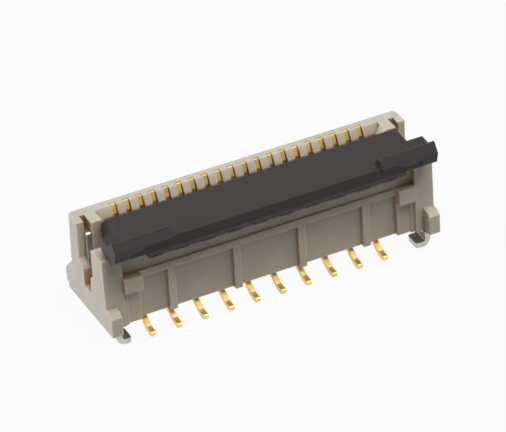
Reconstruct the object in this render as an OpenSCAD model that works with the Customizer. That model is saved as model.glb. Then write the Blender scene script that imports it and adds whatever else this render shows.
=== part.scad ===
// Upright FPC connector: flat cable enters from above, a flip lever locks it against a row of contacts.
// X runs along the row of contacts, Y to the back, Z up. The board surface is z = 0.

/* [Contacts] */
// Number of contacts, always even
ways = 20; // [12:2:40]
// Distance from one contact to the next
pitch = 0.50; // [0.45:0.05:0.80]
// Thickness of the contact strip
contact_t = 0.18; // [0.10:0.01:0.20]
// Clearance between a contact and each side of its channel
channel_gap = 0.02; // [0.01:0.005:0.03]
// Width of the springy rear beam
beam_w = 0.20; // [0.16:0.01:0.24]
// Width of the front arm that holds the lever
arm_w = 0.17; // [0.12:0.01:0.20]
// Height of the contact's base bar
base_h = 0.62; // [0.40:0.01:0.70]
// How far the barbs at the base bar's ends bite into the housing
barb = 0.04; // [0.02:0.005:0.06]
// Height of the bare part above and below a barb
barb_in = 0.10; // [0.05:0.01:0.16]
// Slope where the arm and the beam grow out of the base bar
root = 0.12; // [0.06:0.01:0.16]
// How far the beam's tip stays below the housing's top
tip_drop = 0.02; // [0.01:0.01:0.10]
// How far the contact point stands out of the slot's back wall
bump_out = 0.17; // [0.10:0.01:0.20]
// Radius of the contact point
bump_r = 0.12; // [0.08:0.01:0.16]
// Depth of the contact point below the hinge axis
point_drop = 0.50; // [0.44:0.01:0.56]
// Depth of the channel behind the slot that the rear beam springs into
beam_room = 0.35; // [0.32:0.01:0.36]
// Thickness of a solder tail
tail_t = 0.19; // [0.14:0.01:0.24]
// Flat length of a solder tail on the board
tail_flat = 0.34; // [0.24:0.01:0.45]
// Slope at a solder tail's bends
tail_bend = 0.05; // [0.02:0.005:0.06]
// Bevel on a solder tail's free edge
tail_edge = 0.03; // [0.01:0.005:0.05]
// Width of a solder tail's root under the base bar
tail_root = 0.32; // [0.24:0.01:0.36]
// How far a solder tail leaves the moulding below its underside
tail_drop = 0.16; // [0.10:0.01:0.20]
// How far the front tails reach past the front wall
front_tail_out = 0.38; // [0.30:0.01:0.50]
// How far the rear tails reach past the rear flange
rear_tail_out = 0.27; // [0.20:0.01:0.50]

/* [Flat cable] */
// Thickness of the flat cable's end
cable_t = 0.30; // [0.25:0.01:0.35]
// How much wider the slot is than the cable
cable_play = 0.07; // [0.04:0.01:0.10]
// How far the closed lever presses the cable into the contacts
squeeze = 0.08; // [0.04:0.01:0.12]
// Width of the slot from front to back
slot_w = 0.40; // [0.38:0.01:0.46]
// Height of the slot's floor above the board
slot_floor = 1.40; // [1.30:0.01:1.70]
// Depth of the lead-in bevel at the slot's mouth
lead_h = 0.32; // [0.15:0.01:0.45]
// Width of the lead-in bevel at the slot's mouth
lead_w = 0.20; // [0.10:0.01:0.24]

/* [Housing] */
// Height of the moulding's underside above the board
standoff = 0.60; // [0.52:0.01:0.75]
// How far the contacts' base bars lie above the moulding's underside
base_lift = 0.02; // [0.01:0.01:0.06]
// How far the ribs and pads reach below the moulding's underside
rib_drop = 0.03; // [0.01:0.01:0.05]
// Height of the back wall above the board
wall_top = 3.92; // [3.80:0.01:4.05]
// Distance of the back wall's rear face from the hinge axis, at the top
wall_back = 1.88; // [1.84:0.01:2.00]
// Thickness of the skin behind the contacts
back_skin = 0.20; // [0.14:0.01:0.24]
// Outward lean of the back wall from its top to the flange
back_lean = 0.12; // [0.00:0.01:0.20]
// Rounding of the upright rear corners
corner_r = 0.18; // [0.05:0.01:0.25]
// How far the rear flange stands out behind the back wall
flange_out = 0.46; // [0.30:0.01:0.60]
// Height of the flange's upper edge above the board
flange_top = 1.82; // [1.50:0.01:2.20]
// Bevel on the flange's upper and lower edges
flange_bevel = 0.30; // [0.10:0.01:0.35]
// Distance of the front rail and ribs from the hinge axis
front_out = 0.78; // [0.74:0.01:0.86]
// Thickness of the front wall at the contact channels
front_wall = 0.34; // [0.28:0.01:0.34]
// How far the comb wall stands back from the rail's face
comb_in = 0.08; // [0.03:0.01:0.09]
// Thickness of the comb wall above the rail
comb_wall = 0.14; // [0.12:0.01:0.15]
// Depth of the front panels behind the ribs
panel_in = 0.16; // [0.06:0.01:0.18]
// Height of the rail's lower edge above the board
rail_z = 2.29; // [2.00:0.01:2.35]
// Height of the floor under the lever
deck_z = 2.40; // [2.36:0.01:2.44]
// Height of the comb wall's top
comb_top = 3.20; // [3.10:0.01:3.30]
// Height of the notches' floor in the comb wall
notch_z = 2.88; // [2.70:0.01:3.00]
// Width of the notches in the comb wall
notch_w = 0.55; // [0.30:0.01:0.60]
// Width of a front rib
rib_w = 0.27; // [0.16:0.01:0.35]
// Contacts between one front rib and the next
rib_every = 5; // [3:1:8]

/* [Housing ends] */
// Thickness of the wall between the cable slot and the hold-down
inner_wall = 0.59; // [0.50:0.01:0.70]
// Thickness of the outermost wall
outer_wall = 0.26; // [0.20:0.01:0.32]
// Width of the front columns under the lever's tabs
column_w = 0.725; // [0.70:0.005:0.76]
// Depth of the columns from front to back
column_d = 0.88; // [0.70:0.01:0.92]
// How far the columns stand out in front of the rail
column_out = 0.13; // [0.08:0.01:0.20]
// Height of the columns above the board
column_top = 3.47; // [3.30:0.01:3.48]
// Width of the corner feet
foot_w = 0.41; // [0.34:0.01:0.44]
// How far the corner feet stand out in front of the rail
foot_out = 0.56; // [0.50:0.01:0.70]
// Height of the feet's upper edge above the board
foot_top = 1.50; // [1.20:0.01:1.80]
// Rounding of the feet's upper front edge
foot_round = 0.12; // [0.04:0.01:0.16]
// How far the pads beside the feet stand out in front of the rail
pad_out = 0.04; // [0.02:0.01:0.10]
// Distance of the pads from the lugs' inner ends
pad_in = 0.52; // [0.40:0.01:0.60]
// Step between a pad and its foot
pad_gap = 0.03; // [0.01:0.01:0.06]
// Length of the lugs beside the columns
lug_w = 0.68; // [0.50:0.01:0.70]
// How far the lugs stand out in front of the rail
lug_out = 0.29; // [0.15:0.01:0.35]
// Height of the rail's and the lugs' upper face above the board
lug_top = 2.565; // [2.45:0.005:2.70]
// Height of a lug from its lower to its upper face
lug_h = 0.575; // [0.40:0.005:0.70]
// Opening of the end slot at its top, from front to back
end_slot_w = 1.12; // [1.00:0.01:1.14]
// Opening of the end slot at its foot
end_slot_low = 0.60; // [0.40:0.01:0.64]
// Height of the end slot's floor
end_slot_z = 1.52; // [1.50:0.01:1.80]
// Distance of the end slot's foot behind the columns
end_slot_step = 0.27; // [0.20:0.01:0.30]
// Taper of the end slot's sides
end_slot_taper = 0.05; // [0.01:0.01:0.08]
// Height at which the end slot widens
end_slot_neck = 2.16; // [2.00:0.01:2.30]
// Height over which the end slot widens at the front
end_slot_front = 0.20; // [0.12:0.01:0.30]
// Height over which the end slot widens at the rear
end_slot_rear = 0.34; // [0.20:0.01:0.40]
// How far the hold-down's lower slot ends below the end slot's floor
sill_drop = 0.04; // [0.02:0.01:0.10]

/* [Hold-downs] */
// Thickness of the hold-down plate
hold_t = 0.19; // [0.15:0.01:0.22]
// Clearance on each side of the hold-down in its slot
hold_gap = 0.01; // [0.01:0.005:0.02]
// Height of the hold-down's upright end above the board
hold_top = 3.50; // [3.20:0.01:3.60]
// Width of the hold-down's upright arm
hold_arm = 0.54; // [0.40:0.01:0.56]
// Width of the hold-down's solder foot
hold_foot = 0.70; // [0.50:0.01:0.74]
// Length of the solder foot towards the middle
hold_reach = 0.545; // [0.40:0.005:0.70]
// How far the solder foot reaches in front of the column
hold_out = 0.15; // [0.05:0.01:0.20]
// How far the leg stands back from the column's front face
hold_leg_in = 0.10; // [0.06:0.01:0.16]
// Clearance between the solder foot and the moulding's underside
hold_lift = 0.04; // [0.02:0.01:0.08]
// How far the leg's rear part reaches down below the slot
hold_drop = 0.22; // [0.15:0.01:0.30]
// Distance of the hold-down's rear edge from the channels' rear wall
hold_back = 0.20; // [0.16:0.01:0.30]
// Inner radius of the foot's bend
hold_bend = 0.12; // [0.06:0.01:0.14]
// Bevel on the hold-down's corners
hold_edge = 0.06; // [0.02:0.01:0.08]
// Rounding of the solder foot's free corners
hold_corner = 0.12; // [0.05:0.01:0.20]

/* [Lever] */
// Height of the hinge axis above the board
hinge_z = 3.50; // [3.48:0.01:3.54]
// Radius of the pins that the contacts hold
pin_r = 0.22; // [0.18:0.01:0.23]
// Running clearance between a pin and a contact's hook
pin_gap = 0.03; // [0.02:0.005:0.05]
// Radius of the hub around the pins
hub_r = 0.48; // [0.42:0.01:0.50]
// Swing radius of the lever's rounded back
swing_r = 0.83; // [0.81:0.01:0.84]
// Clearance between the swinging lever and the housing
swing_gap = 0.05; // [0.04:0.01:0.08]
// How far the lever's top stays below its swing radius
back_drop = 0.05; // [0.04:0.01:0.07]
// Fall of the lever's top from back to front
lever_fall = 0.09; // [0.00:0.01:0.16]
// Distance of the lever's front face from the hinge axis
lever_out = 1.66; // [1.55:0.01:1.80]
// Thickness of the lever's plate
plate_t = 0.44; // [0.38:0.01:0.46]
// Bevel on the plate's lower front edge
plate_edge = 0.04; // [0.02:0.01:0.06]
// Flare along the foot of the plate's front face
flare = 0.08; // [0.04:0.01:0.09]
// Angle above the hinge axis at which the rounded back ends
crown_angle = 28; // [24:1:32]
// How far the nose below the rounded back stands out
nose_out = 0.04; // [0.01:0.01:0.05]
// Height of the nose's upper edge above the hinge axis
nose_top = 0.10; // [0.05:0.01:0.16]
// Height of the nose's lower edge below the hinge axis
nose_low = 0.16; // [0.10:0.01:0.18]
// Clearance between a contact's hook and each side of its room in the lever
hook_gap = 0.06; // [0.04:0.01:0.08]
// How far the cams stop short of the slot's ends
cam_in = 0.08; // [0.05:0.01:0.20]
// Depth of the cams' pressing face below the hinge axis, upper end
cam_top = 0.18; // [0.14:0.01:0.22]
// Height of the cams' pressing face
cam_h = 0.18; // [0.12:0.01:0.20]
// Height of the bevel under the cams' pressing face
cam_bevel = 0.12; // [0.06:0.01:0.14]
// Clearance between the lever's plate ends and the columns
end_gap = 0.06; // [0.04:0.01:0.10]
// How far the finger tabs stop short of the housing's end faces
tab_in = 0.185; // [0.10:0.005:0.30]
// Distance of the tabs' back edge from the hinge axis
tab_back = 0.54; // [0.48:0.01:0.62]
// How far the tabs' underside stays above the columns
tab_lift = 0.12; // [0.08:0.01:0.16]
// Bevel on the tabs' edges
tab_edge = 0.05; // [0.02:0.01:0.08]
// Distance of the tabs' lowest edge behind the front face
tab_heel = 0.42; // [0.34:0.01:0.50]
// Length of the raised finger lips
lip_w = 2.16; // [1.60:0.01:2.60]
// Height of the lips' crest above the lever's top
lip_h = 0.34; // [0.15:0.01:0.40]
// How far the lips bulge in front of the lever's front face
lip_out = 0.10; // [0.04:0.01:0.16]
// Distance of the lips' crest behind the front face
lip_in = 0.20; // [0.12:0.01:0.26]
// Distance from the lips' crest back to the foot of their slope
lip_slope = 0.30; // [0.22:0.01:0.40]
// Flat width of the lips' crest
lip_flat = 0.06; // [0.02:0.01:0.08]
// How far the bulge reaches down the front face
lip_drop = 0.22; // [0.12:0.01:0.30]
// Rounding of the lips' inner ends
lip_round = 0.14; // [0.05:0.01:0.18]

/* [Hidden] */
$fn = 48;
EPS = 0.01;
FAR = 20;
HOUSING_BEIGE = [0.80, 0.77, 0.70];
LEVER_BROWN = [0.20, 0.17, 0.17];
CONTACT_GOLD = [0.76, 0.60, 0.28];
HOLD_DOWN_TIN = [0.66, 0.66, 0.62];

// Along the row
slot_half = ((ways + 1) * pitch + cable_play) / 2;
mouth_half = slot_half + lead_w;
hold_in = slot_half + inner_wall;
hold_slot = hold_t + 2 * hold_gap;
half_len = hold_in + hold_slot + outer_wall;
column_in = half_len - column_w;
lug_in = column_in + EPS / 2 - lug_w;
plate_half = column_in - end_gap;
tab_half = half_len - tab_in;
hook_half = ((ways - 1) * pitch + contact_t) / 2;
cam_half = min(slot_half, plate_half) - cam_in;
channel_w = contact_t + 2 * channel_gap;
hook_room = contact_t + 2 * hook_gap;

// Front to back, measured from the hinge axis at y = 0
wall_y = wall_back - back_skin;
slot_y = wall_y - beam_room;
bump_y = slot_y - bump_out;
cam_y = bump_y - cable_t + squeeze;
inner_y = swing_r + swing_gap;
rail_y = -front_out;
channel_y = rail_y + front_wall;
comb_y = rail_y + comb_in;
column_y = rail_y - column_out;
column_rear = column_y + column_d;
foot_y = rail_y - foot_out;
lug_y = rail_y - lug_out;
flange_y = wall_back + back_lean + flange_out;
tail_front = rail_y - front_tail_out;
tail_rear = flange_y + rear_tail_out;
hold_rear = wall_y - hold_back;
hold_front = hold_rear - hold_arm;
hold_leg_y = column_y + hold_leg_in;
foot_pad_y = column_y - hold_out;
lip_y = -lever_out - lip_out;
seat_r = pin_r + pin_gap;

// Heights
base_z = standoff + base_lift;
base_top = base_z + base_h;
tail_z = standoff - tail_drop;
hold_low = standoff + hold_drop;
sill_z = end_slot_z - sill_drop;
hold_sill = sill_z - 2 * hold_gap;
point_z = hinge_z - point_drop;

// Heights of the lever, measured from the hinge axis
lever_top = swing_r - back_drop;
tab_low = column_top + tab_lift - hinge_z;
face_top = lever_top - lever_fall;
face_low = face_top - plate_t;

// Shares of a bevel's size that its sloped legs take
BEVEL_LONG = 1.5;
BEVEL_MEAN = 0.5;
BEVEL_SHORT = 0.7;

// Angles round the hinge axis at which the plate's underside meets its hub
HUB_NOSE = -35;
HUB_FOOT = -70;
HUB_HEEL = -150;

// Angles round the hinge axis between which the web carries the hinge pin
ROOM_LOW = -2;
ROOM_HIGH = 70;

// The part's own origin is the middle of its footprint
origin_y = (lip_y + tail_rear) / 2;

PLACES = [for (i = [0 : ways - 1]) (i - (ways - 1) / 2) * pitch];
FRONT_TAILS = [for (i = [0 : 2 : ways - 1]) PLACES[i]];
REAR_TAILS = [for (i = [1 : 2 : ways - 1]) PLACES[i]];
RIBS = floor(ways / rib_every);

function two_digits(n) = n < 10 ? str("0", n) : str(n);
function polar(r, a) = [r * cos(a), r * sin(a)];

FRONT_NAMES = [for (i = [0 : len(FRONT_TAILS) - 1]) str("contact_front_", two_digits(i + 1))];
REAR_NAMES = [for (i = [0 : len(REAR_TAILS) - 1]) str("contact_rear_", two_digits(i + 1))];

// Moves the hinge-based drawing to the part's origin
module placed() {
    translate([0, -origin_y, 0]) children();
}

// Draws a front-to-back outline along X from x0 to x1
module along_row(x0, x1) {
    translate([x0, 0, 0]) rotate([90, 0, 90]) linear_extrude(x1 - x0) children();
}

// Draws an outline along Y from y0 to y1
module across_row(y0, y1) {
    translate([0, y1, 0]) rotate([90, 0, 0]) linear_extrude(y1 - y0) children();
}

module both_ends() {
    children();
    mirror([1, 0, 0]) children();
}

module block(x0, x1, y0, y1, z0, z1) {
    translate([x0, y0, z0]) cube([x1 - x0, y1 - y0, z1 - z0]);
}

// ---- Housing ----

// Section through the deck, the back wall and the rear flange
module body_section() {
    lean_y = wall_back + back_lean;
    polygon([
        [rail_y, standoff],
        [rail_y, deck_z],
        [slot_y, deck_z],
        [slot_y, wall_top],
        [wall_back, wall_top],
        [lean_y, flange_top],
        [lean_y + flange_bevel, flange_top - flange_bevel],
        [flange_y, flange_top - BEVEL_LONG * flange_bevel],
        [flange_y, standoff + flange_bevel],
        [flange_y - BEVEL_SHORT * flange_bevel, standoff]
    ]);
}

// Keyhole outline of the slot in each end face
module end_slot_outline() {
    low_y = column_rear + end_slot_step;
    rear_y = column_rear + end_slot_w;
    neck = end_slot_neck;
    polygon([
        [column_y, FAR],
        [column_y, column_top],
        [column_rear, column_top],
        [column_rear + end_slot_taper, (column_top + neck) / 2],
        [column_rear + end_slot_taper, neck + end_slot_front],
        [low_y, neck],
        [low_y, end_slot_z],
        [low_y + end_slot_low, end_slot_z],
        [low_y + end_slot_low, neck],
        [rear_y + end_slot_taper, neck + end_slot_rear],
        [rear_y, wall_top],
        [rear_y, FAR]
    ]);
}

module foot_section() {
    polygon([
        [rail_y, standoff],
        [foot_y, standoff],
        [foot_y, foot_top - BEVEL_LONG * foot_round],
        [foot_y + foot_round, foot_top - BEVEL_MEAN * foot_round],
        [column_y, foot_top],
        [rail_y, foot_top]
    ]);
}

// Walls, column, lug and foot at the right-hand end
module housing_end() {
    // Wall between the cable slot and the hold-down
    block(slot_half, hold_in, inner_y, slot_y + EPS, deck_z - EPS, wall_top);
    // Outermost wall, full depth
    block(hold_in + hold_slot, half_len, column_rear - EPS, slot_y + EPS, standoff, wall_top);
    // Column under the lever's tab
    block(column_in, half_len, column_y, column_rear, standoff, column_top);
    // Lug beside the column
    block(lug_in, column_in + EPS, lug_y, channel_y - EPS, lug_top - lug_h, lug_top);
    // Pad between the front panels and the foot
    pad_end = half_len - foot_w - pad_gap;
    block(lug_in + pad_in, pad_end, rail_y - pad_out, channel_y, standoff - rib_drop, lug_top - lug_h + EPS);
    along_row(half_len - foot_w, half_len) foot_section();
}

// Slots in the right-hand end
module housing_end_slots() {
    x0 = hold_in;
    x1 = hold_in + hold_slot;
    along_row(x1 - EPS, FAR) end_slot_outline();
    // Upright arm's slot
    block(x0, x1, column_rear, hold_rear + hold_gap, sill_z - EPS, FAR);
    // Lower slot for the hold-down's body and leg
    block(x0, x1, hold_leg_y - hold_gap, hold_rear + hold_gap, -FAR, sill_z);
    // Rounded rear corner above the flange, leaning with the back wall
    lean_angle = atan2(back_lean, wall_top - flange_top);
    translate([half_len - corner_r, wall_back - corner_r, wall_top]) rotate([lean_angle, 0, 0]) difference() {
        translate([0, 0, flange_top - wall_top]) cube([2 * corner_r, 2 * corner_r, FAR]);
        translate([0, 0, -FAR]) cylinder(r = corner_r, h = 2 * FAR);
    }
}

module front_ribs() {
    for (i = [0 : RIBS - 1]) {
        x = (i - (RIBS - 1) / 2) * rib_every * pitch;
        block(x - rib_w / 2, x + rib_w / 2, rail_y, channel_y, standoff - rib_drop, rail_z + EPS);
    }
}

module cable_mouth() {
    rim = wall_top - lead_h;
    block(-slot_half, slot_half, slot_y - slot_w, slot_y, slot_floor, FAR);
    // Bevel along the contacts
    along_row(-mouth_half, mouth_half) polygon([
        [slot_y - EPS, rim],
        [slot_y, rim],
        [slot_y + lead_w, wall_top],
        [slot_y + lead_w, FAR],
        [slot_y - EPS, FAR]
    ]);
    // Bevels at the two ends
    across_row(inner_y - EPS, slot_y + EPS) polygon([
        [slot_half - EPS, rim],
        [slot_half, rim],
        [mouth_half, wall_top],
        [mouth_half, FAR],
        [slot_half - EPS, FAR]
    ]);
    across_row(inner_y - EPS, slot_y + EPS) polygon([
        [-slot_half + EPS, rim],
        [-slot_half, rim],
        [-mouth_half, wall_top],
        [-mouth_half, FAR],
        [-slot_half + EPS, FAR]
    ]);
}

module housing() {
    color(HOUSING_BEIGE) placed() difference() {
        union() {
            difference() {
                along_row(-half_len, half_len) body_section();
                // Front panels between the ribs
                block(-lug_in, lug_in, -FAR, rail_y + panel_in, -FAR, rail_z);
            }
            front_ribs();
            // Rail, with the comb wall standing back above it from column to column
            block(-lug_in, lug_in, rail_y, comb_y + comb_wall, deck_z - EPS, lug_top);
            block(-column_in - EPS, column_in + EPS, comb_y, comb_y + comb_wall, deck_z - EPS, comb_top);
            both_ends() housing_end();
        }
        cable_mouth();
        for (x = PLACES) block(x - channel_w / 2, x + channel_w / 2, channel_y, wall_y, -FAR, FAR);
        for (x = REAR_TAILS) {
            block(x - notch_w / 2, x + notch_w / 2, -FAR, comb_y + comb_wall + EPS, notch_z, FAR);
        }
        both_ends() housing_end_slots();
    }
}

// ---- Contacts ----

// Springy rear beam with its contact point
module beam_outline() {
    back_y = wall_y - channel_gap;
    front_y = back_y - beam_w;
    tip_z = wall_top - tip_drop;
    polygon([
        [back_y, base_z],
        [back_y, tip_z],
        [back_y - beam_w / 3, tip_z],
        [front_y, tip_z - lead_h],
        [front_y, point_z + 2 * bump_r],
        [bump_y + bump_r, point_z + bump_r],
        [bump_y + bump_r, point_z - bump_r],
        [front_y, point_z - 2 * bump_r],
        [front_y, base_top + root],
        [front_y - root, base_top],
        [front_y - root, base_z]
    ]);
}

// Front arm up to the hook
module arm_outline() {
    polygon([
        [-seat_r - arm_w, base_z],
        [-seat_r - arm_w, hinge_z],
        [-seat_r, hinge_z],
        [-seat_r, base_top + root],
        [-seat_r + root, base_top],
        [-seat_r + root, base_z]
    ]);
}

// Hook that holds the lever's pin from the front and above
module hook_outline() {
    translate([0, hinge_z]) difference() {
        circle(seat_r + arm_w);
        circle(seat_r);
        polygon([[0, 0], [0, 1], [1, 1], [1, -1], [-1, -1], [-1, 0]]);
    }
}

// Bent tail from root_y under the base out to tip_y, with side -1 to the front and 1 to the rear
module tail_outline(root_y, tip_y, side) {
    heel_y = tip_y - side * tail_flat;
    polygon([
        [root_y - side * tail_root, base_z + EPS],
        [root_y, base_z + EPS],
        [root_y + side * tail_bend, tail_z],
        [heel_y - side * tail_bend / 2, tail_t + tail_bend / 2],
        [heel_y + side * 2 * tail_bend, tail_t],
        [tip_y - side * tail_edge, tail_t],
        [tip_y, tail_t - tail_edge],
        [tip_y, tail_edge],
        [tip_y - side * tail_edge, 0],
        [heel_y + side * tail_bend, 0],
        [heel_y - side * 2 * tail_bend, tail_bend],
        [root_y - side * 2 * tail_bend, tail_z - tail_t + tail_bend],
        [root_y - side * (tail_root - tail_bend), tail_z - tail_bend]
    ]);
}

module contact(x, side) {
    front_root = channel_y + 2 * tail_bend;
    rear_root = wall_y - 2 * tail_bend;
    x0 = x - contact_t / 2;
    x1 = x + contact_t / 2;
    color(CONTACT_GOLD) placed() {
        along_row(x0, x1) beam_outline();
        along_row(x0, x1) translate([bump_y + bump_r, point_z]) circle(bump_r);
        along_row(x0, x1) arm_outline();
        along_row(x0, x1) hook_outline();
        // Base bar, with barbs that bite into the ends of the channel
        block(x0, x1, channel_y + barb, wall_y - barb, base_z, base_top);
        block(x0, x1, channel_y, wall_y, base_z + barb_in, base_top - barb_in);
        if (side < 0) along_row(x0, x1) tail_outline(front_root, tail_front, -1);
        if (side > 0) along_row(x0, x1) tail_outline(rear_root, tail_rear, 1);
    }
}

// ---- Hold-downs ----

// Solder foot from x0 to x1, seen from above, with rounded free corners at x0
module hold_foot_outline(x0, x1, y0, y1) {
    translate([x0 + hold_corner, y0]) square([x1 - x0 - hold_corner, y1 - y0]);
    translate([x0, y0 + hold_corner]) square([2 * hold_corner, y1 - y0 - 2 * hold_corner]);
    for (y = [y0 + hold_corner, y1 - hold_corner]) translate([x0 + hold_corner, y]) circle(hold_corner);
}

module hold_down() {
    bend_out = hold_bend + hold_t;
    x0 = hold_in + hold_gap;
    x1 = x0 + hold_t;
    foot_rear = foot_pad_y + hold_foot;
    step_z = standoff - hold_lift;
    along_row(x0, x1) polygon([
        [foot_pad_y, bend_out - EPS],
        [foot_pad_y, step_z - hold_edge],
        [foot_pad_y + hold_edge, step_z],
        [hold_leg_y, step_z],
        [hold_leg_y, hold_sill - hold_edge],
        [hold_leg_y + hold_edge, hold_sill],
        [hold_front, hold_sill],
        [hold_front, hold_top - hold_edge],
        [hold_front + hold_edge, hold_top],
        [hold_rear - hold_edge, hold_top],
        [hold_rear, hold_top - hold_edge],
        [hold_rear, hold_low],
        [foot_rear + hold_edge, hold_low],
        [foot_rear, hold_low - hold_edge],
        [foot_rear, bend_out - EPS]
    ]);
    // Quarter-round bend from the leg into the foot
    across_row(foot_pad_y, foot_rear) intersection() {
        translate([x1 - bend_out, bend_out]) difference() {
            circle(bend_out);
            circle(hold_bend);
        }
        translate([x1 - bend_out, 0]) square([bend_out, bend_out]);
    }
    linear_extrude(hold_t) hold_foot_outline(x1 - hold_reach, x1 - bend_out + EPS, foot_pad_y, foot_rear);
}

module hold_down_right() {
    color(HOLD_DOWN_TIN) placed() hold_down();
}

module hold_down_left() {
    color(HOLD_DOWN_TIN) placed() mirror([1, 0, 0]) hold_down();
}

// ---- Lever, drawn about the hinge axis ----

// Height of the lever's top at a distance in front of the hinge axis
function top_at(out) = lever_top - lever_fall * out / lever_out;

module plate_outline() {
    crown = polar(swing_r, crown_angle);
    nose_y = crown[0] + nose_out;
    polygon([
        [sqrt(pow(swing_r, 2) - pow(lever_top, 2)), lever_top],
        crown,
        [nose_y, nose_top],
        [nose_y, -nose_low],
        polar(hub_r, HUB_NOSE),
        polar(hub_r, HUB_FOOT),
        polar(hub_r, HUB_HEEL),
        [-hub_r, 0],
        [-hub_r - plate_edge, top_at(hub_r) - plate_t],
        [-lever_out + plate_edge, face_low],
        [-lever_out, face_low + plate_edge],
        [-lever_out, face_top]
    ]);
    circle(hub_r);
}

// Flare along the foot of the plate's front face
module flare_outline() {
    polygon([
        [-lever_out, face_low + plate_edge],
        [-lever_out - flare, face_low - flare],
        [-lever_out + flare, face_low - flare],
        [-lever_out + 2 * flare, face_low],
        [-lever_out + 2 * flare, face_low + plate_edge]
    ]);
}

// Section through a finger lip
module lip_outline() {
    crest = -lever_out + lip_in;
    foot = crest + lip_slope;
    polygon([
        [foot, top_at(-foot)],
        [crest, face_top + lip_h],
        [crest - lip_flat, face_top + lip_h],
        [-lever_out - lip_out, face_top],
        [-lever_out, face_top - lip_drop],
        [foot, face_top - lip_drop]
    ]);
}

// Front view of the right-hand lip, with its inner end rounded
module lip_front_outline() {
    inner = tab_half - lip_w;
    crest_z = face_top + lip_h;
    polygon([
        [inner, face_low],
        [inner, crest_z - lip_round],
        [inner + lip_round, crest_z - lip_round],
        [inner + lip_round, crest_z + EPS],
        [tab_half, crest_z + EPS],
        [tab_half, face_low]
    ]);
    translate([inner + lip_round, crest_z - lip_round]) circle(lip_round);
}

// Section through a finger tab beside the plate
module tab_outline() {
    foot = -lever_out + lip_in + lip_slope;
    polygon([
        [-tab_back, top_at(tab_back) - tab_edge],
        [-tab_back - tab_edge, top_at(tab_back)],
        [foot, top_at(-foot)],
        [-lever_out, face_top],
        [-lever_out - lip_out, face_top],
        [-lever_out, face_low + plate_edge],
        [-lever_out + tab_edge, face_low],
        [-lever_out + tab_heel, tab_low - tab_edge],
        [-tab_back - 3 * tab_edge, tab_low + tab_edge],
        [-tab_back, tab_low + 3 * tab_edge]
    ]);
}

// Cams between the contacts that press the cable when the lever lies down
module cam_outline() {
    polygon([
        [cam_y - cam_h, nose_top],
        [cam_y, -cam_top],
        [cam_y, -cam_top - cam_h],
        [cam_y - cam_bevel, -cam_top - cam_h - cam_bevel],
        [0, -hub_r],
        [0, 0]
    ]);
}

// Room for one contact's arm and hook, leaving the pin and the web that carries it
module hook_room_outline() {
    hook_r = seat_r + arm_w + swing_gap;
    difference() {
        union() {
            circle(hook_r);
            polygon([[0, 0], [-FAR, 0], [-FAR, -FAR], [FAR, -FAR], polar(FAR, ROOM_LOW + 1)]);
        }
        circle(pin_r);
        polygon([[0, 0], polar(FAR, ROOM_LOW), [FAR, FAR], polar(FAR, ROOM_HIGH)]);
    }
}

module lever() {
    color(LEVER_BROWN) placed() translate([0, 0, hinge_z]) difference() {
        union() {
            along_row(-plate_half, plate_half) plate_outline();
            along_row(-lug_in, lug_in) flare_outline();
            along_row(-cam_half, cam_half) cam_outline();
            both_ends() {
                intersection() {
                    along_row(tab_half - lip_w, tab_half) lip_outline();
                    across_row(lip_y, 0) lip_front_outline();
                }
                along_row(plate_half - EPS, tab_half) tab_outline();
            }
        }
        for (x = PLACES) along_row(x - hook_room / 2, x + hook_room / 2) hook_room_outline();
    }
}

housing();
lever();
for (i = [0 : len(FRONT_TAILS) - 1]) {
    contact(FRONT_TAILS[i], -1);
}
for (i = [0 : len(REAR_TAILS) - 1]) {
    contact(REAR_TAILS[i], 1);
}
hold_down_left();
hold_down_right();
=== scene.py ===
"""Upright flat-cable connector: finishes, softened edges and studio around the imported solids."""
import math

import bpy
from bpy.props import FloatProperty, FloatVectorProperty, PointerProperty
from mathutils import Matrix, Vector

bl_info = {
    "name": "Flat Cable Connector",
    "version": (1, 0, 0),
    "blender": (4, 5, 0),
    "location": "View3D > Sidebar > Connector",
    "description": "Dresses the connector's solids and sets its studio",
    "category": "Object",
}

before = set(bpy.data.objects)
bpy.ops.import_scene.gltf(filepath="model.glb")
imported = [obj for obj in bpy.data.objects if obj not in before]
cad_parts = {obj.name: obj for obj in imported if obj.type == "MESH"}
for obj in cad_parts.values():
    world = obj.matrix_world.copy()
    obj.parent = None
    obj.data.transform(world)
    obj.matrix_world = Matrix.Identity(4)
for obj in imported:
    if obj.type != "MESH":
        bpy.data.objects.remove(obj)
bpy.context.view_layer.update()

MM = 0.001
FRONT_CONTACTS = sorted(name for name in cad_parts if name.startswith("contact_front"))
REAR_CONTACTS = sorted(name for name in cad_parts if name.startswith("contact_rear"))
HOLD_DOWNS = ["hold_down_left", "hold_down_right"]

WHITE = (1, 1, 1)
# Samples of the softened-edge and recess shading
SHADING_SAMPLES = 8
# Turn of the softened normal at which an edge starts to show its painted highlight, and at which it shows
# fully
EDGE_START, EDGE_FULL = 0.02, 0.2
# Share of the white backdrop that shows on the floor, so that a faint shadow stays
FLOOR_SEEN = 0.95
# Strength of the world's own light on the object, and of the backdrop that is seen
DIM_WORLD, SEEN_WORLD = 0.03, 1.0
# Name, place and side in metres, and watts of each square soft lamp
LAMPS = (
    ("lamp_key", (0.05, -0.135, 0.37), 0.26, 1.22),
    ("lamp_left", (-0.36, 0.16, 0.12), 0.22, 1.02),
    ("lamp_right", (0.32, -0.10, 0.10), 0.10, 0.14),
)
LAMP_AIM = Vector((0, 0, 2 * MM))
CAMERA_AIM = Vector((-0.0897, -0.205, 2.5548)) * MM
SENSOR_WIDTH = 36


# ---- Sizes and colours that a user may change ----

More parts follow.
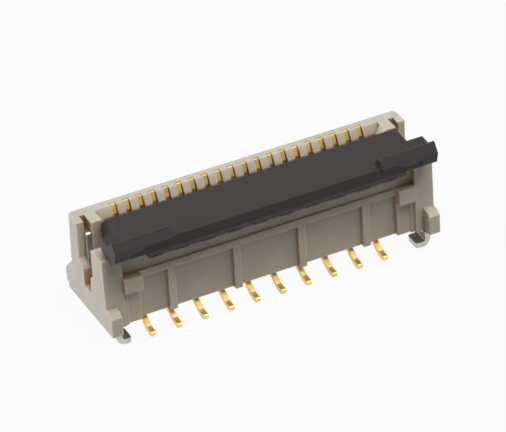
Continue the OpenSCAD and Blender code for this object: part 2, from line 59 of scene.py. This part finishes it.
class ConnectorSizes(bpy.types.PropertyGroup):
    """Sizes of what is added to the solids, and of the studio."""

    grain: FloatProperty(
        name="Moulding grain", description="Size of the fine grain on the mouldings",
        default=0.06 * MM, min=0.01 * MM, unit="LENGTH", precision=6)
    edge: FloatProperty(
        name="Moulded edge", description="Rounding of the mouldings' edges",
        default=0.030 * MM, min=0.005 * MM, unit="LENGTH", precision=6)
    stamped_edge: FloatProperty(
        name="Stamped edge", description="Rounding of the metal pieces' edges",
        default=0.020 * MM, min=0.005 * MM, unit="LENGTH", precision=6)
    # Reach of the painted recess shade on the housing
    recess: FloatProperty(
        name="Recess reach", description="Width below which a recess looks warm and deep",
        default=0.9 * MM, min=0.1 * MM, unit="LENGTH", precision=6)
    glow: FloatProperty(
        name="Glow depth", description="How far light spreads inside the pale moulding",
        default=0.30 * MM, min=0.01 * MM, unit="LENGTH", precision=6)
    camera_lens: FloatProperty(
        name="Lens", description="Focal length of the camera, in millimetres", default=300, min=50)
    camera_distance: FloatProperty(
        name="Camera distance", description="Distance from the camera to the connector",
        default=146.25 * MM, min=20 * MM, unit="LENGTH")
    camera_turn: FloatProperty(
        name="Camera turn", description="Turn of the camera round the connector",
        default=math.radians(-24.04), subtype="ANGLE")
    camera_height: FloatProperty(
        name="Camera height", description="Angle of the camera above the board",
        default=math.radians(33.44), subtype="ANGLE")
    camera_roll: FloatProperty(
        name="Camera roll", description="Roll of the camera about its own axis",
        default=math.radians(-3.893), subtype="ANGLE")
    floor_size: FloatProperty(
        name="Floor size", description="Side of the square floor", default=2.0, min=0.1, unit="LENGTH")


class ConnectorColours(bpy.types.PropertyGroup):
    """Colours of the finishes, as linear values."""

    housing: FloatVectorProperty(
        name="Housing", description="Natural beige moulding", subtype="COLOR", size=3,
        min=0, max=1, default=(0.66, 0.61, 0.52))
    # Painted shade: warm brown blended into the housing's recesses, standing in for shade and for light
    # coming through thin walls
    housing_painted_shade: FloatVectorProperty(
        name="Housing recesses", description="Warm brown that shines through thin walls", subtype="COLOR",
        size=3, min=0, max=1, default=(0.48, 0.29, 0.13))
    lever: FloatVectorProperty(
        name="Lever", description="Dark brown moulding", subtype="COLOR", size=3,
        min=0, max=1, default=(0.015, 0.010, 0.009))
    gold: FloatVectorProperty(
        name="Contacts", description="Gold plating", subtype="COLOR", size=3,
        min=0, max=1, default=(0.90, 0.66, 0.26))
    tin: FloatVectorProperty(
        name="Hold-downs", description="Tin plating", subtype="COLOR", size=3,
        min=0, max=1, default=(0.58, 0.57, 0.53))
    floor: FloatVectorProperty(
        name="Floor", description="Plain pale floor", subtype="COLOR", size=3,
        min=0, max=1, default=(0.40, 0.40, 0.40))


def sizes():
    return bpy.context.scene.connector_sizes


def colours():
    return bpy.context.scene.connector_colours


# ---- Shader arithmetic ----

class Signal:
    """A shader socket that takes part in arithmetic: each expression adds its Math node."""

    def __init__(self, maker, socket):
        self.maker = maker
        self.socket = socket

    def maths(self, operation, *values):
        return self.maker.node("ShaderNodeMath", {"operation": operation}, dict(enumerate(values)))

    def __add__(self, other):
        return self.maths("ADD", self, other)

    def __radd__(self, other):
        return self.maths("ADD", other, self)

    def __sub__(self, other):
        return self.maths("SUBTRACT", self, other)

    def __rsub__(self, other):
        return self.maths("SUBTRACT", other, self)

    def __mul__(self, other):
        return self.maths("MULTIPLY", self, other)

    def __rmul__(self, other):
        return self.maths("MULTIPLY", other, self)

    def rise(self, low, high):
        """0 at low, 1 at high, with a smooth step between them."""
        return self.maker.node(
            "ShaderNodeMapRange", {"interpolation_type": "SMOOTHSTEP"},
            {"Value": self, "From Min": low, "From Max": high})


class NodeMaker:
    """Adds nodes to the tree of one material or of the world, which it clears first."""

    def __init__(self, owner):
        owner.use_nodes = True
        self.tree = owner.node_tree
        self.tree.nodes.clear()

    def connect(self, entry, value):
        """Links a signal to a socket, or sets the socket to a plain value."""
        if isinstance(value, Signal):
            self.tree.links.new(value.socket, entry)
        elif entry.type == "RGBA":
            entry.default_value = (*value, 1)
        else:
            entry.default_value = value

    def node(self, kind, settings=None, inputs=None, output=0):
        """Adds a node: its settings come first, then the values or links of its sockets."""
        node = self.tree.nodes.new(kind)
        for label, value in (settings or {}).items():
            setattr(node, label, value)
        for label, value in (inputs or {}).items():
            self.connect(node.inputs[label], value)
        return Signal(self, node.outputs[output]) if node.outputs else None

    def path(self, label):
        return self.node("ShaderNodeLightPath", output=label)

    def seen_share(self):
        """1 on rays that the camera, a mirror or glass sends, 0 on the others."""
        seen = self.path("Is Camera Ray") + self.path("Is Glossy Ray") + self.path("Is Transmission Ray")
        return seen.maths("MINIMUM", seen, 1.0)


class Finish(NodeMaker):
    """One material: its node tree ends in a Principled shader."""

    def __init__(self, name, **fixed):
        self.material = bpy.data.materials.new(name)
        super().__init__(self.material)
        shader = self.node("ShaderNodeBsdfPrincipled")
        self.entries = shader.socket.node.inputs
        self.node("ShaderNodeOutputMaterial", inputs={"Surface": shader})
        self.feed(**fixed)

    def feed(self, **values):
        for label, value in values.items():
            self.connect(self.entries[label.replace("_", " ")], value)

    def place(self, stretch):
        """Object coordinates in millimetres, stretched along the axes."""
        spot = self.node("ShaderNodeTexCoord", output="Object")
        scale = tuple(factor / MM for factor in stretch)
        return self.node("ShaderNodeMapping", inputs={"Vector": spot, "Scale": scale})

    def noise(self, scale, detail, stretch=(1, 1, 1)):
        return self.node("ShaderNodeTexNoise", inputs={
            "Vector": self.place(stretch), "Scale": scale, "Detail": detail})

    def blend(self, share, first, second):
        return self.node("ShaderNodeMix", {"data_type": "RGBA"}, {0: share, 6: first, 7: second}, output=2)

    def softened(self, radius):
        """Normal that turns smoothly over every sharp edge."""
        return self.node("ShaderNodeBevel", {"samples": SHADING_SAMPLES}, {"Radius": radius})

    def painted_edge_highlight(self, shade, softened, share, highlight_colour):
        """Painted edge highlight: shade blended by share towards a lighter colour along the softened edges.
        """
        flat = self.node("ShaderNodeNewGeometry", output="True Normal")
        turn = 1 - self.node(
            "ShaderNodeVectorMath", {"operation": "DOT_PRODUCT"}, {0: softened, 1: flat}, output="Value")
        return self.blend(turn.rise(EDGE_START, EDGE_FULL) * share, shade, highlight_colour)

    def openness(self, reach):
        """Ambient occlusion, 1 on open faces and towards 0 in recesses narrower than reach: the mask of the
        painted recess shade.
        """
        return self.node(
            "ShaderNodeAmbientOcclusion", {"samples": SHADING_SAMPLES}, {"Distance": reach}, output="AO")

    def relief(self, height, depth, normal):
        """Normal of a surface roughened by height, with depth in metres."""
        return self.node("ShaderNodeBump", inputs={
            "Height": height, "Distance": depth, "Strength": 1.0, "Normal": normal})


def tone(colour, factor):
    return tuple(min(1.0, channel * factor) for channel in colour)


# ---- Finishes ----

def housing_finish():
    base, deep = colours().housing, colours().housing_painted_shade
    made = Finish(
        "natural_moulding", Specular_IOR_Level=0.5, Subsurface_Weight=0.9,
        Subsurface_Radius=(1.0, 0.62, 0.36), Subsurface_Scale=sizes().glow)
    softened = made.softened(sizes().edge)
    cloud = made.noise(0.8, 3.0, (0.5, 1, 1))
    grain = made.noise(MM / sizes().grain, 2.0)
    shade = made.blend(cloud.rise(0.35, 0.65), tone(base, 0.96), tone(base, 1.03))
    shade = made.blend(grain.rise(0.55, 0.75) * 0.3, shade, tone(base, 0.88))
    # Painted shade: recesses turn warm brown where ambient occlusion closes in
    shade = made.blend(made.openness(sizes().recess).rise(0.85, 0.2), shade, deep)
    # Painted highlight: edges lightened towards a paler beige
    shade = made.painted_edge_highlight(shade, softened, 0.5, tone(base, 1.3))
    made.feed(
        Base_Color=shade, Roughness=0.44 + grain * 0.14, Normal=made.relief(grain, 0.004 * MM, softened))
    return made.material


def lever_finish():
    base = colours().lever
    made = Finish("dark_moulding", Specular_IOR_Level=0.38)
    softened = made.softened(sizes().edge)
    grain = made.noise(0.8 * MM / sizes().grain, 3.0)
    cloud = made.noise(0.7, 2.0, (0.3, 1, 1))
    shade = made.blend(cloud.rise(0.3, 0.7), tone(base, 0.85), tone(base, 1.15))
    shade = made.blend(grain.rise(0.56, 0.72) * 0.5, shade, tone(base, 1.9))
    # Painted highlight: edges lightened towards a paler brown
    shade = made.painted_edge_highlight(shade, softened, 0.5, tone(base, 3.0))
    made.feed(
        Base_Color=shade, Roughness=0.40 + grain * 0.2, Normal=made.relief(grain, 0.006 * MM, softened))
    return made.material


def contact_finish():
    base = colours().gold
    made = Finish("gold_plating", Metallic=1.0)
    softened = made.softened(sizes().stamped_edge)
    drawn = made.noise(9.0, 2.0, (6, 1, 0.3))
    cloud = made.noise(2.5, 2.0)
    shade = made.blend(cloud.rise(0.35, 0.7), base, tone(base, 0.85))
    # Painted highlight: edges lightened towards a paler gold
    shade = made.painted_edge_highlight(shade, softened, 0.6, tone(base, 1.2))
    made.feed(
        Base_Color=shade, Roughness=0.42 + drawn * 0.2, Normal=made.relief(drawn, 0.003 * MM, softened))
    return made.material


def hold_down_finish():
    base = colours().tin
    made = Finish("tin_plating", Metallic=1.0)
    softened = made.softened(sizes().stamped_edge)
    patch = made.noise(4.0, 4.0)
    shade = made.blend(patch.rise(0.4, 0.65), base, tone(base, 0.78))
    # Painted highlight: edges lightened towards a paler tin
    shade = made.painted_edge_highlight(shade, softened, 0.6, tone(base, 1.4))
    made.feed(
        Base_Color=shade, Roughness=0.28 + patch * 0.25, Normal=made.relief(patch, 0.01 * MM, softened))
    return made.material


def wear(piece, material):
    """Gives every face of a piece one finish."""
    if not piece.data.materials:
        piece.data.materials.append(material)
    for index in range(len(piece.data.materials)):
        piece.data.materials[index] = material


# ---- Operators ----

class CONNECTOR_OT_housing(bpy.types.Operator):
    """Dress the moulded housing"""

    bl_idname = "connector.housing"
    bl_label = "Housing"

    def execute(self, context):
        wear(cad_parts["housing"], housing_finish())
        return {"FINISHED"}


class CONNECTOR_OT_lever(bpy.types.Operator):
    """Dress the locking lever"""

    bl_idname = "connector.lever"
    bl_label = "Locking Lever"

    def execute(self, context):
        wear(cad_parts["lever"], lever_finish())
        return {"FINISHED"}


class CONNECTOR_OT_contacts(bpy.types.Operator):
    """Dress the two rows of contacts"""

    bl_idname = "connector.contacts"
    bl_label = "Contacts"

    def execute(self, context):
        plating = contact_finish()
        for name in FRONT_CONTACTS + REAR_CONTACTS:
            wear(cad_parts[name], plating)
        return {"FINISHED"}


class CONNECTOR_OT_hold_downs(bpy.types.Operator):
    """Dress the two hold-downs"""

    bl_idname = "connector.hold_downs"
    bl_label = "Hold-downs"

    def execute(self, context):
        plating = hold_down_finish()
        for name in HOLD_DOWNS:
            wear(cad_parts[name], plating)
        return {"FINISHED"}


class CONNECTOR_OT_studio(bpy.types.Operator):
    """Set the floor, the lamps, the world and the camera"""

    bl_idname = "connector.studio"
    bl_label = "Studio"

    def execute(self, context):
        lay_floor()
        hang_lamps()
        light_world()
        set_camera()
        context.scene.view_settings.view_transform = "Standard"
        return {"FINISHED"}


def lay_floor():
    bpy.ops.object.select_all(action="DESELECT")
    bpy.ops.mesh.primitive_plane_add(size=sizes().floor_size, location=(0, 0, 0))
    floor = bpy.context.object
    floor.name = "floor"
    material = bpy.data.materials.new("pale_floor")
    made = NodeMaker(material)
    matt = made.node("ShaderNodeBsdfDiffuse", inputs={"Color": colours().floor})
    white = made.node("ShaderNodeEmission", inputs={"Color": WHITE})
    mixed = made.node("ShaderNodeMixShader", inputs={0: made.seen_share() * FLOOR_SEEN, 1: matt, 2: white})
    made.node("ShaderNodeOutputMaterial", inputs={"Surface": mixed})
    wear(floor, material)


def hang_lamps():
    for name, spot, side, strength in LAMPS:
        data = bpy.data.lights.new(name, "AREA")
        data.shape = "SQUARE"
        data.size = side
        data.energy = strength
        lamp = bpy.data.objects.new(name, data)
        bpy.context.scene.collection.objects.link(lamp)
        lamp.location = spot
        lamp.rotation_euler = (LAMP_AIM - Vector(spot)).to_track_quat("-Z", "Y").to_euler()


def light_world():
    """A dim even light, with a white backdrop that only seen and mirrored rays meet."""
    world = bpy.data.worlds.new("studio_world")
    bpy.context.scene.world = world
    made = NodeMaker(world)
    dim, white = (
        made.node("ShaderNodeBackground", inputs={"Color": WHITE, "Strength": strength})
        for strength in (DIM_WORLD, SEEN_WORLD))
    mixed = made.node("ShaderNodeMixShader", inputs={0: made.seen_share(), 1: dim, 2: white})
    made.node("ShaderNodeOutputWorld", inputs={"Surface": mixed})


def set_camera():
    """A long lens that looks down on the lever's side from the left."""
    turn, height, roll = sizes().camera_turn, sizes().camera_height, sizes().camera_roll
    back = Vector((math.sin(turn) * math.cos(height), -math.cos(turn) * math.cos(height), math.sin(height)))
    right = Vector((0, 0, 1)).cross(back).normalized()
    up = back.cross(right)
    side = right * math.cos(roll) + up * math.sin(roll)
    top = up * math.cos(roll) - right * math.sin(roll)
    data = bpy.data.cameras.new("camera")
    data.lens = sizes().camera_lens
    data.sensor_width = SENSOR_WIDTH
    data.clip_start = 5 * MM
    data.clip_end = 20
    camera = bpy.data.objects.new("camera", data)
    bpy.context.scene.collection.objects.link(camera)
    turned = Matrix((side, top, back)).transposed().to_4x4()
    camera.matrix_world = Matrix.Translation(CAMERA_AIM + back * sizes().camera_distance) @ turned
    bpy.context.scene.camera = camera


class CONNECTOR_PT_panel(bpy.types.Panel):
    """Lists the connector's sizes, colours and pieces"""

    bl_idname = "CONNECTOR_PT_panel"
    bl_label = "Flat Cable Connector"
    bl_space_type = "VIEW_3D"
    bl_region_type = "UI"
    bl_category = "Connector"

    def draw(self, context):
        layout = self.layout
        for group in (context.scene.connector_sizes, context.scene.connector_colours):
            box = layout.box()
            for label in group.bl_rna.properties.keys():
                if label not in ("rna_type", "name"):
                    box.prop(group, label)
        for operator in STEPS:
            layout.operator(operator.bl_idname)


STEPS = (
    CONNECTOR_OT_housing,
    CONNECTOR_OT_lever,
    CONNECTOR_OT_contacts,
    CONNECTOR_OT_hold_downs,
    CONNECTOR_OT_studio,
)
CLASSES = (ConnectorSizes, ConnectorColours, *STEPS, CONNECTOR_PT_panel)


def register():
    for made in CLASSES:
        bpy.utils.register_class(made)
    bpy.types.Scene.connector_sizes = PointerProperty(type=ConnectorSizes)
    bpy.types.Scene.connector_colours = PointerProperty(type=ConnectorColours)


def unregister():
    del bpy.types.Scene.connector_colours
    del bpy.types.Scene.connector_sizes
    for made in reversed(CLASSES):
        bpy.utils.unregister_class(made)


def main():
    register()
    bpy.ops.connector.housing()
    bpy.ops.connector.lever()
    bpy.ops.connector.contacts()
    bpy.ops.connector.hold_downs()
    bpy.ops.connector.studio()


if __name__ == "__main__":
    main()
